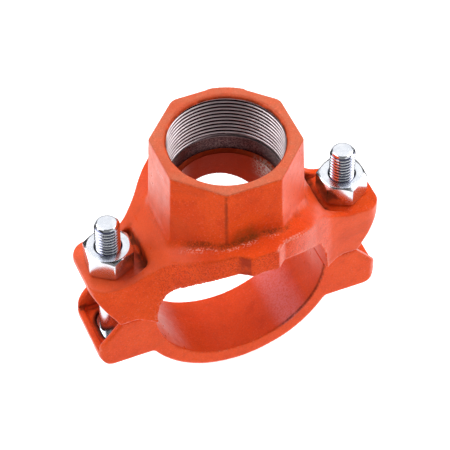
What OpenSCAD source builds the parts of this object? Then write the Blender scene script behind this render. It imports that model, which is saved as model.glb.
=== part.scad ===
// Bolted branch-outlet coupling (threaded mechanical tee) for steel pipe.
// The origin is where the run-pipe axis (Y) crosses the outlet axis (Z). The bolts stand along X.
// Millimetres, +Z up the outlet.

/* [Run pipe] */
// Outside diameter of the run pipe that the two housings clamp
run_pipe_d = 88.9; // [86:0.1:92]
// Gap between the pipe and the housings all round
run_gap = 0.5; // [0.4:0.05:1.2]
// Half of the width of the strap and of the bolt arms, along the pipe
arm_half_w = 18; // [15:0.5:20]

/* [Outlet] */
// Height of the outlet's top face above the run-pipe axis
outlet_top = 89; // [84:0.5:96]
// Distance across the flats of the octagonal boss at its top face
boss_af = 68; // [66:0.5:72]
// Draft angle of the boss flats
boss_draft = 1.7; // [0:0.1:3]
// Crest diameter of the two-inch internal pipe thread
thread_crest_d = 56.66; // [56.2:0.02:57]
// Length of the internal thread, measured from the top face
thread_l = 27; // [22:0.5:30]
// Depth of the lead-in chamfer at the mouth
mouth_chamfer = 1.8; // [0.5:0.1:2.5]
// Diameter of the plain machined band under the thread
band_d = 55.6; // [54:0.1:56]
// Length of that band
band_l = 8.5; // [4:0.5:10]
// Diameter of the cast waterway below the band
waterway_d = 51; // [46:0.5:54]
// Outside diameter of the collar that locates in the hole of the run pipe
collar_d = 62; // [60:0.5:63]
// How far the collar reaches into the run bore
collar_reach = 6.4; // [3:0.1:8]

/* [Saddle] */
// Radius of the saddle's top surface about the run-pipe axis
saddle_top_r = 57.3; // [56:0.5:60]
// Radius of the saddle's outline about the outlet axis
saddle_r = 46.4; // [45:0.5:48]
// How far the square tab stands out of the outline
tab_out = 3.0; // [1:0.1:5]
// Half of the tab's width at its tip
tab_half_w = 7.0; // [5:0.1:9]

/* [Gasket] */
// Outside diameter of the outlet gasket
gasket_d = 76.6; // [72:0.1:77]
// Thickness of the gasket, out from the pipe
gasket_t = 5.7; // [4:0.1:6]
// Space left around the gasket in its recess
gasket_space = 0.1; // [0.05:0.05:0.3]

/* [Bolt pads] */
// Distance of each bolt from the outlet axis
bolt_x = 61.5; // [60:0.5:64]
// Height of the nut seat above the run-pipe axis
seat_z = 28; // [24:0.5:30]
// Distance of the pad's outer end from the outlet axis
pad_end = 76.4; // [75:0.2:79]
// Distance of the nut pocket's flat wall from the outlet axis
pocket_wall_x = 45.5; // [44:0.5:47]
// Half of the nut pocket's width
pocket_half_w = 13.4; // [13.2:0.1:14]
// Diameter of the bolt hole through the pad
bolt_hole_d = 14.1; // [13.6:0.1:15]

/* [Lower lugs] */
// Outside radius of the strap about the run-pipe axis
strap_r = 53.6; // [51:0.2:55]
// Distance of the lug's outer end from the outlet axis
lug_end = 74.8; // [73:0.2:76.5]
// Depth of the lug's underside below the run-pipe axis
lug_bottom = 27; // [24:0.1:30]
// Thickness of the lug's floor
lug_floor = 8; // [5:0.1:9]
// Thickness of the wall round the lug's pocket
lug_wall = 3.4; // [2.5:0.1:5]

/* [Fasteners] */
// Outside diameter of the half-inch bolt thread, 13 threads an inch
bolt_d = 12.6; // [12.4:0.01:12.69]
// Height of the bolt's tip above the run-pipe axis
bolt_top = 56.4; // [52:0.1:60]
// Diameter of the bolt's round head
head_d = 24; // [20:0.5:26]
// Height of the bolt's round head
head_h = 7.5; // [6:0.5:9]
// Distance across the flats of the hexagon nut
nut_af = 22.2; // [20:0.1:22.5]
// Height of the nut
nut_h = 12; // [10:0.1:12.5]

/* [Hidden] */
$fn = 96;

past = 20;                               // how far a cutting shape runs past what it cuts
reach = 200;                             // longer than the coupling any way
arc_step = 3;                            // degrees from one point of an arc to the next
run_r = run_pipe_d / 2 + run_gap;        // wall radius of the run bore
thread_end_z = outlet_top - thread_l;
band_end_z = thread_end_z - band_l;
boss_foot_z = 38;                        // the boss flats end inside the saddle
gate_r = 34.8;                           // the one boss corner that is cut back to a round
gate_angle = 67.5;
arm_blend_r = 10;                        // hollow blend between saddle outline and bolt arm
pad_round_r = 9;                         // plan rounding of the pad's corners
shoulder_r = 8;                          // hollow blend between saddle top and nut seat
pad_edge = 1.2;                          // chamfer on the pad's outer top edge
part_z = 1.4;                            // outer parting face of the upper housing
part_gap = 0.9;                          // open gap between the outer parting faces
ramp_gap = 0.1;                          // gap on the sloping seats, inside the bolts
ramp_x = 54.8;                           // where the sloping seat begins
ramp_slope = 0.35;                       // rise of the sloping seat per millimetre outward
pad_foot_x = 63.4;                       // lowest outer point of the pad's slanting underside
pad_slant = 60;                          // angle of that underside to the horizontal
slant_top_z = part_z + (pad_end - pad_foot_x) * tan(pad_slant);
lug_tip_z = -14;                         // where the lug's side walls end at the tip
lip_z = -17;                             // top of the low lip across the lug's outer end
lug_top_x = 62.8;                        // where the lug wall's slope meets the parting face
lug_round_r = 8;                         // rounding of the lug's lower outer edge
lug_corner_r = 5;                        // plan rounding of the lug's corners
lug_inner_x = 54;                        // inner wall of the lug's pocket
lug_floor_z = lug_floor - lug_bottom;
neck_r = 6.6;                            // the bolt's oval neck: end radius
neck_shift = 3.6;                        // and how far each end is from the bolt axis
neck_space = 0.6;                        // space around the neck in its hole
pocket_round_r = 3;                      // corner rounding of the nut pocket
tip_chamfer = 1.1;
nut_bore_r = bolt_d / 2 + 0.07;          // running fit on the bolt
nut_corner_r = nut_af / 2 / cos(30);
nut_chamfer_r = nut_af / 2 - 0.5;        // radius of the nut's flat top and bottom faces
nut_cone_angle = 30;
nut_left_turn = 23.7;                    // how each nut stands when it is tight
nut_right_turn = 31.2;
paint = "orangered";
zinc = "silver";
rubber = "dimgray";

// Points of an arc from angle a to angle b, both ways round
function arc(cx, cy, r, a, b) = let(n = ceil(abs(b - a) / arc_step))
    [for (i = [0 : n]) let(t = a + (b - a) * i / n) [cx + r * cos(t), cy + r * sin(t)]];
// The same points mirrored left to right, in reverse order
function flip_x(points) = [for (i = [len(points) - 1 : -1 : 0]) [-points[i][0], points[i][1]]];
// The same points mirrored front to back, in reverse order
function flip_y(points) = [for (i = [len(points) - 1 : -1 : 0]) [points[i][0], -points[i][1]]];
// Height of the upper housing's sloping seat at a distance from the outlet axis
function ramp_z(x) = part_z - (ramp_x - x) * ramp_slope;

// Plan outline of the upper housing, one quarter: pad corner, hollow blend, saddle arc, tab
function plan_quarter() =
    let(
        blend_y = arm_half_w + arm_blend_r,
        blend_x = sqrt(pow(saddle_r + arm_blend_r, 2) - pow(blend_y, 2)),
        blend_angle = atan2(blend_y, blend_x),
        tab_angle = acos((tab_half_w + tab_out) / saddle_r)
    )
    concat(
        arc(pad_end - pad_round_r, arm_half_w - pad_round_r, pad_round_r, 0, 90),
        arc(blend_x, blend_y, arm_blend_r, 270, 180 + blend_angle),
        arc(0, 0, saddle_r, blend_angle + arc_step, tab_angle),
        [[tab_half_w, saddle_r + tab_out]]
    );

// Front outline of the upper housing, right half, from the crown down to the parting seat
function upper_front_half() =
    let(
        blend_z = seat_z + shoulder_r,
        blend_x = sqrt(pow(saddle_top_r + shoulder_r, 2) - pow(blend_z, 2)),
        blend_angle = atan2(blend_z, blend_x)
    )
    concat(
        arc(0, 0, saddle_top_r, 90 - arc_step / 2, blend_angle),
        arc(blend_x, blend_z, shoulder_r, 180 + blend_angle + arc_step, 270),
        [
            [pad_end - pad_edge, seat_z],
            [pad_end, seat_z - pad_edge],
            [pad_end, slant_top_z],
            [pad_foot_x, part_z],
            [ramp_x, part_z],
            [run_r - 1, ramp_z(run_r - 1)]
        ]
    );

// Front outline of the lower housing, right half, from the seat round to the strap's lowest point
function lower_front_half() =
    let(
        top_z = part_z - part_gap,
        seat_x = ramp_x - (part_gap - ramp_gap) / ramp_slope,
        seat_in = run_r - 1,
        strap_angle = asin(lug_bottom / strap_r)
    )
    concat(
        [
            [seat_in, ramp_z(seat_in) - ramp_gap],
            [seat_x, top_z],
            [lug_top_x, top_z],
            [lug_end, lug_tip_z]
        ],
        arc(lug_end - lug_round_r, lug_round_r - lug_bottom, lug_round_r, 0, -90),
        arc(0, 0, strap_r, -strap_angle, arc_step / 2 - 90)
    );

// A front outline made solid along the pipe
module along_pipe(half, depth) {
    rotate([90, 0, 0])
        linear_extrude(height = depth, center = true)
            polygon(concat(half, flip_x(half)));
}

// A round bar along the run-pipe axis
module run_bar(r) {
    rotate([90, 0, 0])
        cylinder(r = r, h = reach, center = true);
}

// A tube on the outlet axis, open at both ends
module outlet_tube(inner, outer, low, high) {
    difference() {
        translate([0, 0, low])
            cylinder(r = outer, h = high - low);
        translate([0, 0, low - 1])
            cylinder(r = inner, h = high - low + 2);
    }
}

// One pair of opposite boss flats, with their draft
module boss_flats() {
    spread = (outlet_top - boss_foot_z) * tan(boss_draft);
    half = boss_af / 2;
    rotate([90, 0, 0])
        linear_extrude(height = reach, center = true)
            polygon([
                [half, outlet_top],
                [-half, outlet_top],
                [-half - spread, boss_foot_z],
                [half + spread, boss_foot_z]
            ]);
}

// The corner of the boss that is cut back to a round
module gate_cut() {
    difference() {
        rotate([0, 0, gate_angle])
            translate([gate_r - 6, -saddle_r / 2, saddle_top_r])
                cube([past, saddle_r, outlet_top]);
        cylinder(r = gate_r, h = reach);
    }
}

// Octagonal boss: four pairs of flats
module boss() {
    difference() {
        intersection() {
            boss_flats();
            rotate([0, 0, 45]) boss_flats();
            rotate([0, 0, 90]) boss_flats();
            rotate([0, 0, 135]) boss_flats();
        }
        gate_cut();
    }
}

// Everything turned or cored out of the outlet from above
module outlet_bore() {
    translate([0, 0, thread_end_z])
        cylinder(d = thread_crest_d, h = thread_l + 1);
    translate([0, 0, outlet_top - mouth_chamfer])
        cylinder(d1 = thread_crest_d, d2 = thread_crest_d + 2 * mouth_chamfer + 2, h = mouth_chamfer + 1);
    translate([0, 0, band_end_z])
        cylinder(d = band_d, h = band_l + 1);
    cylinder(d = waterway_d, h = outlet_top);
}

// Pocket that clears the nut, down to the nut seat
module nut_pocket() {
    corner_y = pocket_half_w - pocket_round_r;
    translate([0, 0, seat_z])
        linear_extrude(height = past)
            polygon(concat(
                arc(pocket_wall_x + pocket_round_r, -corner_y, pocket_round_r, 270, 180),
                arc(pocket_wall_x + pocket_round_r, corner_y, pocket_round_r, 180, 90),
                [[pad_end + 1, pocket_half_w], [pad_end + 1, -pocket_half_w]]
            ));
}

// Oval prism with its long way along the pipe
module oval(r, shift, low, high) {
    translate([0, 0, low])
        linear_extrude(height = high - low)
            polygon(concat(arc(0, shift, r, 0, 180), arc(0, -shift, r, 180, 360)));
}

module upper_housing() {
    quarter = plan_quarter();
    half = concat(quarter, flip_x(quarter));
    color(paint)
        difference() {
            union() {
                difference() {
                    union() {
                        intersection() {
                            along_pipe(upper_front_half(), reach);
                            translate([0, 0, -past])
                                linear_extrude(height = reach)
                                    polygon(concat(half, flip_y(half)));
                        }
                        boss();
                    }
                    run_bar(run_r);
                    intersection() {
                        outlet_tube(collar_d / 2, gasket_d / 2 + gasket_space, 0, outlet_top);
                        run_bar(run_pipe_d / 2 + gasket_t + gasket_space);
                    }
                }
                difference() {
                    outlet_tube(waterway_d / 2, collar_d / 2, 0, saddle_top_r - 5);
                    run_bar(run_r - collar_reach);
                }
            }
            outlet_bore();
            for (side = [-1, 1]) {
                translate([side * bolt_x, 0, -past])
                    cylinder(d = bolt_hole_d, h = reach);
                scale([side, 1, 1]) nut_pocket();
            }
        }
}

// Pocket of the lug, open at the top and at the outer end above a low lip
module lug_pocket() {
    side_y = arm_half_w - lug_wall;
    turn_r = lug_corner_r - lug_wall;
    turn_x = lug_end - lug_corner_r;
    turn_y = arm_half_w - lug_corner_r;
    translate([0, 0, lug_floor_z])
        linear_extrude(height = past * 2)
            polygon(concat(
                arc(turn_x, turn_y, turn_r, 0, 90),
                [[lug_inner_x, side_y], [lug_inner_x, -side_y]],
                arc(turn_x, -turn_y, turn_r, 270, 360)
            ));
    translate([lug_inner_x, -side_y, lip_z])
        cube([past * 2, 2 * side_y, past * 2]);
}

module lower_housing() {
    corner_x = lug_end - lug_corner_r;
    corner_y = arm_half_w - lug_corner_r;
    color(paint)
        difference() {
            intersection() {
                along_pipe(lower_front_half(), reach);
                translate([0, 0, -reach / 2])
                    linear_extrude(height = reach)
                        polygon(concat(
                            arc(corner_x, corner_y, lug_corner_r, 0, 90),
                            arc(-corner_x, corner_y, lug_corner_r, 90, 180),
                            arc(-corner_x, -corner_y, lug_corner_r, 180, 270),
                            arc(corner_x, -corner_y, lug_corner_r, 270, 360)
                        ));
            }
            run_bar(run_r);
            for (side = [-1, 1]) {
                scale([side, 1, 1]) lug_pocket();
                translate([side * bolt_x, 0, 0])
                    oval(neck_r + neck_space, neck_shift, -lug_bottom - 1, lug_floor_z + 1);
            }
        }
}

// Ring that seals the outlet on the run pipe
module outlet_gasket() {
    color(rubber)
        difference() {
            intersection() {
                outlet_tube(collar_d / 2 + gasket_space, gasket_d / 2, 1, outlet_top);
                run_bar(run_pipe_d / 2 + gasket_t);
            }
            run_bar(run_pipe_d / 2);
        }
}

// Oval-neck bolt with a round head under the lug
module bolt() {
    r = bolt_d / 2;
    rim = 2.4;
    color(zinc)
        union() {
            rotate_extrude()
                polygon([
                    [0, -lug_bottom - head_h],
                    [head_d / 2 - 5, -lug_bottom - head_h],
                    [head_d / 2 - 1.4, -lug_bottom - head_h + 1.8],
                    [head_d / 2, -lug_bottom - rim],
                    [head_d / 2, -lug_bottom],
                    [r, -lug_bottom],
                    [r, bolt_top - tip_chamfer],
                    [r - tip_chamfer, bolt_top],
                    [0, bolt_top]
                ]);
            oval(neck_r, neck_shift, -lug_bottom - 1, lug_floor_z - 0.8);
        }
}

// Hexagon nut, chamfered on both faces
module nut() {
    cone_h = (nut_corner_r - nut_chamfer_r) * tan(nut_cone_angle);
    color(zinc)
        translate([0, 0, seat_z])
            difference() {
                intersection() {
                    cylinder(r = nut_corner_r, h = nut_h, $fn = 6);
                    rotate_extrude()
                        polygon([
                            [0, 0],
                            [nut_chamfer_r, 0],
                            [nut_corner_r, cone_h],
                            [nut_corner_r, nut_h - cone_h],
                            [nut_chamfer_r, nut_h],
                            [0, nut_h]
                        ]);
                }
                translate([0, 0, -1])
                    cylinder(r = nut_bore_r, h = nut_h + 2);
            }
}

module bolt_left() {
    translate([-bolt_x, 0, 0]) bolt();
}

module bolt_right() {
    translate([bolt_x, 0, 0]) bolt();
}

module nut_left() {
    translate([-bolt_x, 0, 0]) rotate([0, 0, nut_left_turn]) nut();
}

module nut_right() {
    translate([bolt_x, 0, 0]) rotate([0, 0, nut_right_turn]) nut();
}

upper_housing();
lower_housing();
outlet_gasket();
bolt_left();
bolt_right();
nut_left();
nut_right();
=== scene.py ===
"""Threaded-outlet pipe coupling: cast housings, cut threads, zinc fasteners, studio and camera.

Lengths in the modelling code are millimetres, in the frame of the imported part: the run pipe's axis is Y,
the outlet stands up along Z, and the bolts are on X. Meshes are turned into metres as they are made.
"""

import math

import bpy
import numpy as np
from mathutils import Matrix, Vector


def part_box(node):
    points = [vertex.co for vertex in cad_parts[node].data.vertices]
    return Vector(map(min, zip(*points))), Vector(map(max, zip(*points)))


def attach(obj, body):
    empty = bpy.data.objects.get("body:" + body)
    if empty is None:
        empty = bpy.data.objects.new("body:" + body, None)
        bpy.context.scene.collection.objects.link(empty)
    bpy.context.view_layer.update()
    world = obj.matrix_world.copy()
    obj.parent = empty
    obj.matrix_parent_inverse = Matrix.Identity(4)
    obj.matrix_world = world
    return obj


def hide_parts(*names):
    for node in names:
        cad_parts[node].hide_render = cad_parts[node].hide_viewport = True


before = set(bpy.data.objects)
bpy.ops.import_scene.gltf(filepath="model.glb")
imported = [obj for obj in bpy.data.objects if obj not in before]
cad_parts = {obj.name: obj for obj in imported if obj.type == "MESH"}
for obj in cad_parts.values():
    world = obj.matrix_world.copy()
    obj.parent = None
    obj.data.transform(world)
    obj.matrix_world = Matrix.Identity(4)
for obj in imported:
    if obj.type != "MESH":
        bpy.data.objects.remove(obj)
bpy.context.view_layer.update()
MM = 0.001


def mm_box(node):
    """Lowest and highest corner of a CAD node in millimetres."""
    low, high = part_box(node)
    return np.array(low) / MM, np.array(high) / MM


UPPER_HIGH = mm_box("upper_housing")[1]
LOWER_LOW, LOWER_HIGH = mm_box("lower_housing")
BOLT_LOW, BOLT_HIGH = mm_box("bolt_right")
NUT_LOW, NUT_HIGH = mm_box("nut_right")

# ---------------------------------------------------------------- sizes, as in the CAD
OUTLET_TOP = UPPER_HIGH[2]
PAD_END = UPPER_HIGH[0]
TAB_Y = UPPER_HIGH[1]
STRAP_R = -LOWER_LOW[2]
LUG_END = LOWER_HIGH[0]
BOLT_X = (BOLT_LOW[0] + BOLT_HIGH[0]) / 2
BOLT_TOP = BOLT_HIGH[2]
HEAD_BOTTOM = BOLT_LOW[2]
SEAT_Z = NUT_LOW[2]
NUT_TOP = NUT_HIGH[2]
GASKET_R = mm_box("outlet_gasket")[1][0]
RUN_R = 44.95
PIPE_R = 44.45
ARM_HALF_W = 18.0
BOSS_HALF = 34.0
BOSS_DRAFT = math.radians(1.7)
BOSS_START_Z = 38.0
THREAD_CREST_R = 28.33
THREAD_PITCH = 2.309
THREAD_DEPTH = 1.478
THREAD_END_Z = OUTLET_TOP - 27.0
BAND_R = 27.8
BAND_END_Z = THREAD_END_Z - 8.5
MOUTH_CHAMFER = 1.8
WATERWAY_R = 25.5
COLLAR_R = 31.0
COLLAR_END_R = RUN_R - 6.4
COLLAR_ROOT_R = 54.0
RECESS_R = 38.4
RECESS_TOP_R = 50.25
RECESS_LOW_Z = 2.0
SADDLE_TOP_R = 57.3
SADDLE_R = 46.4
TAB_HALF_W = 7.0
TAB_ROOT_X = 16.0
BOLT_HOLE_R = 7.05
POCKET_WALL_X = 45.5
POCKET_HALF_W = 13.4
POCKET_ROUND = 3.0
PART_Z = 1.4
LOWER_PART_Z = 0.5
RAMP_X = 54.8
RAMP_SLOPE = 0.35
RAMP_GAP = 0.1
PAD_FOOT_X = 63.4
PAD_SLANT = math.radians(60)
LUG_BOTTOM_Z = -27.0
LUG_FLOOR_Z = -19.0
LUG_WALL = 3.4
LUG_TIP_Z = -14.0
LUG_ROUND_R = 8.0
LUG_CORNER_R = 5.0
LIP_Z = -17.0
LUG_TOP_X = 62.8
LUG_INNER_X = 54.0
NECK_R = 6.6
NECK_SHIFT = 3.6
NECK_SPACE = 0.6
NECK_TOP_Z = LUG_FLOOR_Z - 0.8
BOLT_R = 6.3
BOLT_PITCH = 1.954
BOLT_DEPTH = 1.2
BOLT_THREAD_END = 6.0
HEAD_R = 12.0
NUT_AF = 22.2
NUT_TURNS = {"left": math.radians(23.7), "right": math.radians(31.2)}
GATE_R = 34.8
GATE_ANGLE = math.radians(67.5)
GATE_HALF = math.radians(15.6)
TRAVEL = 14.0

# ---------------------------------------------------------------- roundings and draft of the castings
EDGE_ROUND = 0.8
SHOULDER_ROUND = 8.0
PAD_ROUND = 9.0
ARM_BLEND = 10.0
POCKET_EDGE_ROUND = 0.7
POCKET_WALL_ROUND = 0.8
POCKET_FLOOR_ROUND = 1.3
TAB_ROOT_ROUND = 0.5
PAD_FOOT_ROUND = 0.9
MATING_ROUND = 0.5
BOSS_FOOT_ROUND = 3.2
BOSS_CORNER_ROUND = {22.5: 1.6, 112.5: 1.6, 157.5: 0.6, -22.5: 0.6, -157.5: 0.35, -112.5: 0.35, -67.5: 0.35}
GATE_ROUND = 0.4
GATE_WALL = 40.0  # makes a steep wall of the gate's angle
TOP_ROUND = 0.7
RUN_EDGE_ROUND = 0.5
RECESS_EDGE_ROUND = 0.4
COLLAR_END_ROUND = 0.8
WATERWAY_ROUND = 0.5
BOLT_HOLE_ROUND = 0.4
LUG_TOP_ROUND = 2.0
STRAP_ROOT_ROUND = 1.2
ROOM_INNER_ROUND = 2.5
ROOM_FLOOR_ROUND = 1.5
ROOM_EDGE_ROUND = 1.0
STRAP_EDGE_ROUND = 0.7
NECK_EDGE_ROUND = 0.5
SIDE_DRAFT = 0.035
DRAFT_LEVEL_Z = 20.0
END_DRAFT_SHARE = 0.5
TAB_DRAFT_SHARE = 0.6

# ---------------------------------------------------------------- the cast skin
VOXEL = 0.84
SKIN_SHRINK = 0.03
SKIN_WAVES = ((0.055, 5.5, 3), (0.035, 2.3, 4), (0.09, 17.0, 5))  # height, spacing and seed
LATTICE = 32

# ---------------------------------------------------------------- where the castings are worn or dirty, and where light and shade are painted on them
# A pair ending in FROM is where a mark starts and where it is full, and one in TO is where it starts to fade
# and where it is gone. AWAY is the distance from the boss, and LEVEL is how much the surface looks up.
HOLLOW_REACH = (4.0, 2.0)
EDGE_REACH = 1.6
EDGE_GAIN = 1.6
COARSE_LEVEL_TO = (0.25, 0.6)
COARSE_R_FROM, COARSE_Z_FROM = (40.0, 43.0), (-2.0, 4.0)
COARSE_ARM_X, COARSE_ARM_LOSS = (36.0, 50.0), 0.8
FRONT_FROM, FRONT_TO = (-150, -138), (-72, -55)  # degrees round the boss
STAIN_AT, STAIN_SIZE, STAIN_TO = (-3.0, -35.0, 59.5), (11.0, 4.5, 6.5), (0.3, 1.15)
FOOT_AWAY_FROM, FOOT_AWAY_TO, FOOT_BEHIND = (0.1, 0.8), (1.6, 4.0), 0.2
GLINT_AWAY_FROM, GLINT_AWAY_TO = (2.4, 3.2), (3.8, 6.0)
SEAM_ANGLE, SEAM_W_TO, SEAM_AWAY, SEAM_TOP_Z = -112.5, (0.2, 1.1), 0.6, OUTLET_TOP - 1.5
# where the painted shade on the ramp face left of the tab lies
NOOK_DEPTH_FROM, NOOK_X_FROM = (SADDLE_R - 3.5, SADDLE_R - 1.5), (-TAB_ROOT_X - 2, -TAB_HALF_W - 3)
NOOK_X_TO, NOOK_LEVEL_TO, NOOK_LOW_Z = (-TAB_HALF_W - 0.6, -TAB_HALF_W), (0.3, 0.6), 10
# where the painted highlight along the upper edge right of the tab lies
BROW_X_FROM, BROW_X_TO, BROW_EDGE_FROM = (TAB_HALF_W - 1.5, TAB_HALF_W), (33.0, 40.0), (0.15, 0.5)
BROW_R, BROW_Y, BROW_AWAY = SADDLE_TOP_R - 2.2, -12, 3.0
LEE_X_TO, LEE_AWAY_FROM, LEE_LEVEL_FROM = (-42.0, -22.0), (0.3, 2.5), (0.15, 0.4)
LEE_LOW_Z, LEE_DEPTH_TO = 20, (30.0, 44.0)
ARM_SHEEN, ARM_X_FROM, ARM_FACING_FROM = 0.7, (42.0, 54.0), (0.3, 0.7)
# bounds of the grime and painted shade in the nut pockets
GRIME_SHADE_X_FROM = (POCKET_WALL_X - 3.5, POCKET_WALL_X - 0.5)
GRIME_SHADE_X_TO = (POCKET_WALL_X + 0.8, POCKET_WALL_X + 6.0)
GRIME_SHADE_Y_TO = (POCKET_HALF_W - 1.0, POCKET_HALF_W + 2.0)
GRIME_SHADE_Z_FROM, GRIME_SHADE_Z_TO, GRIME_SHADE_DULLS = (26.0, 27.0), (33.0, 37.5), 0.9
INSIDE_Z_FROM, INSIDE_SPARE = (BAND_END_Z + 0.3, BAND_END_Z - 0.5), 1.0
PEEL_ANGLE, PEEL_TURN_TO, PEEL_Z_FROM = 8, (14, 34), (40.0, 46.0)
LIP_R, LIP_R_TO = RUN_R + 0.2, (0.4, 1.1)
LIP_DEPTH_FROM, LIP_TURN_FROM = (ARM_HALF_W - 1.3, ARM_HALF_W - 0.7), (-72, -58)  # degrees round the pipe
# where the painted reflection on the strap's inner right side lies
HIGHLIGHT_TURN_FROM, HIGHLIGHT_TURN_TO, HIGHLIGHT_SPARE = (-66, -54), (-48, -32), 1.0
STRAP_SHEEN = 0.3
WELL_GAP_TO, WELL_X_FROM, WELL_LOW_Z = (0.6, 2.2), (BOLT_X, BOLT_X + 4.0), LUG_BOTTOM_Z + 0.5


# ---------------------------------------------------------------- distance fields
def join_round(a, b, r):
    """Union of two distance fields with a hollow fillet of radius r."""
    return np.maximum(r, np.minimum(a, b)) - np.hypot(np.maximum(r - a, 0), np.maximum(r - b, 0))


def meet_round(a, b, r):
    """Intersection of two distance fields with the edge rounded to radius r."""
    return np.minimum(-r, np.maximum(a, b)) + np.hypot(np.maximum(r + a, 0), np.maximum(r + b, 0))


def boss_field(x, y, z):
    """Octagonal boss with drafted flats and one corner cut back to a round."""
    lean = (OUTLET_TOP - z) * math.tan(BOSS_DRAFT)
    half = BOSS_HALF + lean
    turn = np.arctan2(y, x)
    edge = GATE_ROUND
    for angle, size in BOSS_CORNER_ROUND.items():
        off = np.abs((turn - math.radians(angle) + math.pi) % (2 * math.pi) - math.pi)
        edge = np.where(off < math.pi / 8, size, edge)
    d = None
    for k in range(4):
        angle = math.radians(45 * k)
        flat = (np.abs(x * math.cos(angle) + y * math.sin(angle)) - half) * math.cos(BOSS_DRAFT)
        d = flat if d is None else meet_round(d, flat, edge)
    gate = np.abs(turn - GATE_ANGLE) - GATE_HALF
    disc = np.hypot(x, y) - (GATE_R + lean)
    d = np.maximum(d, np.minimum(disc, -GATE_WALL * gate))
    return np.minimum(d, meet_round(disc, gate * GATE_R, GATE_ROUND))


def arm_top(ax, ay, crown, seat_top):
    """Top of the upper casting: the round saddle, and arms with a nut pocket each."""
    strip = join_round(crown, seat_top, SHOULDER_ROUND)
    strip = meet_round(strip, POCKET_HALF_W - ay, POCKET_EDGE_ROUND)
    walled = meet_round(crown, ax - POCKET_WALL_X, POCKET_WALL_ROUND)
    pocket = join_round(walled, seat_top, POCKET_FLOOR_ROUND)
    corner_x, corner_y = POCKET_WALL_X + POCKET_ROUND, POCKET_HALF_W - POCKET_ROUND
    corner = np.maximum(crown, np.maximum(ax - corner_x, corner_y - ay))
    corner = np.maximum(corner, POCKET_ROUND - np.hypot(ax - corner_x, ay - corner_y))
    return np.minimum(np.minimum(strip, pocket), corner)


def upper_plan(ax, ay, r, draft):
    """Outline of the upper casting seen from above: disc, arms and the tabs at front and back."""
    plan = join_round(r - SADDLE_R + draft, ay - ARM_HALF_W + draft, ARM_BLEND)
    plan = meet_round(plan, ax - PAD_END + END_DRAFT_SHARE * draft, PAD_ROUND)
    tab_draft = TAB_DRAFT_SHARE * draft
    tab = np.maximum(ay - TAB_Y + tab_draft, (ax + ay - TAB_Y - TAB_HALF_W) / math.sqrt(2) + tab_draft)
    return join_round(plan, np.maximum(tab, ax - TAB_ROOT_X), TAB_ROOT_ROUND)


def upper_field(x, y, z):
    """The upper casting, before its outlet is bored and threaded."""
    ax, ay = np.abs(x), np.abs(y)
    r, r_run = np.hypot(x, y), np.hypot(x, z)
    draft = SIDE_DRAFT * (z - DRAFT_LEVEL_Z)
    top = arm_top(ax, ay, r_run - SADDLE_TOP_R, z - SEAT_Z)
    body = meet_round(top, upper_plan(ax, ay, r, draft), EDGE_ROUND)
    # underside
    slant = (ax - PAD_FOOT_X) * math.sin(PAD_SLANT) - (z - PART_Z) * math.cos(PAD_SLANT)
    body = meet_round(body, slant, PAD_FOOT_ROUND)
    ramp = (PART_Z - (RAMP_X - ax) * RAMP_SLOPE - z) * math.cos(math.atan(RAMP_SLOPE))
    body = meet_round(body, np.minimum(PART_Z - z, ramp), MATING_ROUND)
    # boss
    boss = np.maximum(boss_field(x, y, z), BOSS_START_Z - z)
    body = join_round(body, boss, BOSS_FOOT_ROUND)
    body = meet_round(body, z - OUTLET_TOP, TOP_ROUND)
    # run bore, gasket recess, locating collar, waterway and bolt holes
    body = meet_round(body, RUN_R - r_run, RUN_EDGE_ROUND)
    recess = np.maximum(np.maximum(r - RECESS_R, r_run - RECESS_TOP_R), RECESS_LOW_Z - z)
    body = meet_round(body, -recess, RECESS_EDGE_ROUND)
    collar = meet_round(r - COLLAR_R, COLLAR_END_R - r_run, COLLAR_END_ROUND)
    collar = np.maximum(collar, np.maximum(r_run - COLLAR_ROOT_R, -z))
    body = np.minimum(body, collar)
    body = meet_round(body, WATERWAY_R - r, WATERWAY_ROUND)
    hole = np.hypot(ax - BOLT_X, y) - BOLT_HOLE_R
    return meet_round(body, -hole, BOLT_HOLE_ROUND)


def neck_gap(ax, ay):
    """Distance outside the oval hole for a bolt's neck."""
    return np.hypot(ax - BOLT_X, np.maximum(ay - NECK_SHIFT, 0)) - NECK_R - NECK_SPACE


def lug_room(ax, ay, z):
    """The space inside a lug, open at the top and over the low lip at its end."""
    side = ay - ARM_HALF_W + LUG_WALL
    room = meet_round(side, ax - LUG_END + LUG_WALL, LUG_CORNER_R - LUG_WALL)
    room = meet_round(room, LUG_INNER_X - ax, ROOM_INNER_ROUND)
    room = meet_round(room, LUG_FLOOR_Z - z, ROOM_FLOOR_ROUND)
    return np.minimum(room, np.maximum(np.maximum(side, LUG_INNER_X - ax), LIP_Z - z))


def lower_field(x, y, z):
    """The lower casting: strap and two open-topped bolt lugs."""
    ax, ay = np.abs(x), np.abs(y)
    r_run = np.hypot(x, z)
    tip_in, tip_down = LUG_END - LUG_TOP_X, LOWER_PART_Z - LUG_TIP_Z
    slope = ((ax - LUG_TOP_X) * tip_down + (z - LOWER_PART_Z) * tip_in) / math.hypot(tip_in, tip_down)
    lug = meet_round(ax - LUG_END, LUG_BOTTOM_Z - z, LUG_ROUND_R)
    lug = meet_round(lug, slope, LUG_TOP_ROUND)
    outline = join_round(lug, r_run - STRAP_R, STRAP_ROOT_ROUND)
    body = meet_round(outline, meet_round(ay - ARM_HALF_W, ax - LUG_END, LUG_CORNER_R), EDGE_ROUND)
    body = meet_round(body, -lug_room(ax, ay, z), ROOM_EDGE_ROUND)
    ramp = (z - (PART_Z - (RAMP_X - ax) * RAMP_SLOPE) + RAMP_GAP) * math.cos(math.atan(RAMP_SLOPE))
    body = meet_round(body, np.maximum(z - LOWER_PART_Z, ramp), MATING_ROUND)
    body = meet_round(body, RUN_R - r_run, STRAP_EDGE_ROUND)
    return meet_round(body, -neck_gap(ax, ay), NECK_EDGE_ROUND)


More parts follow.
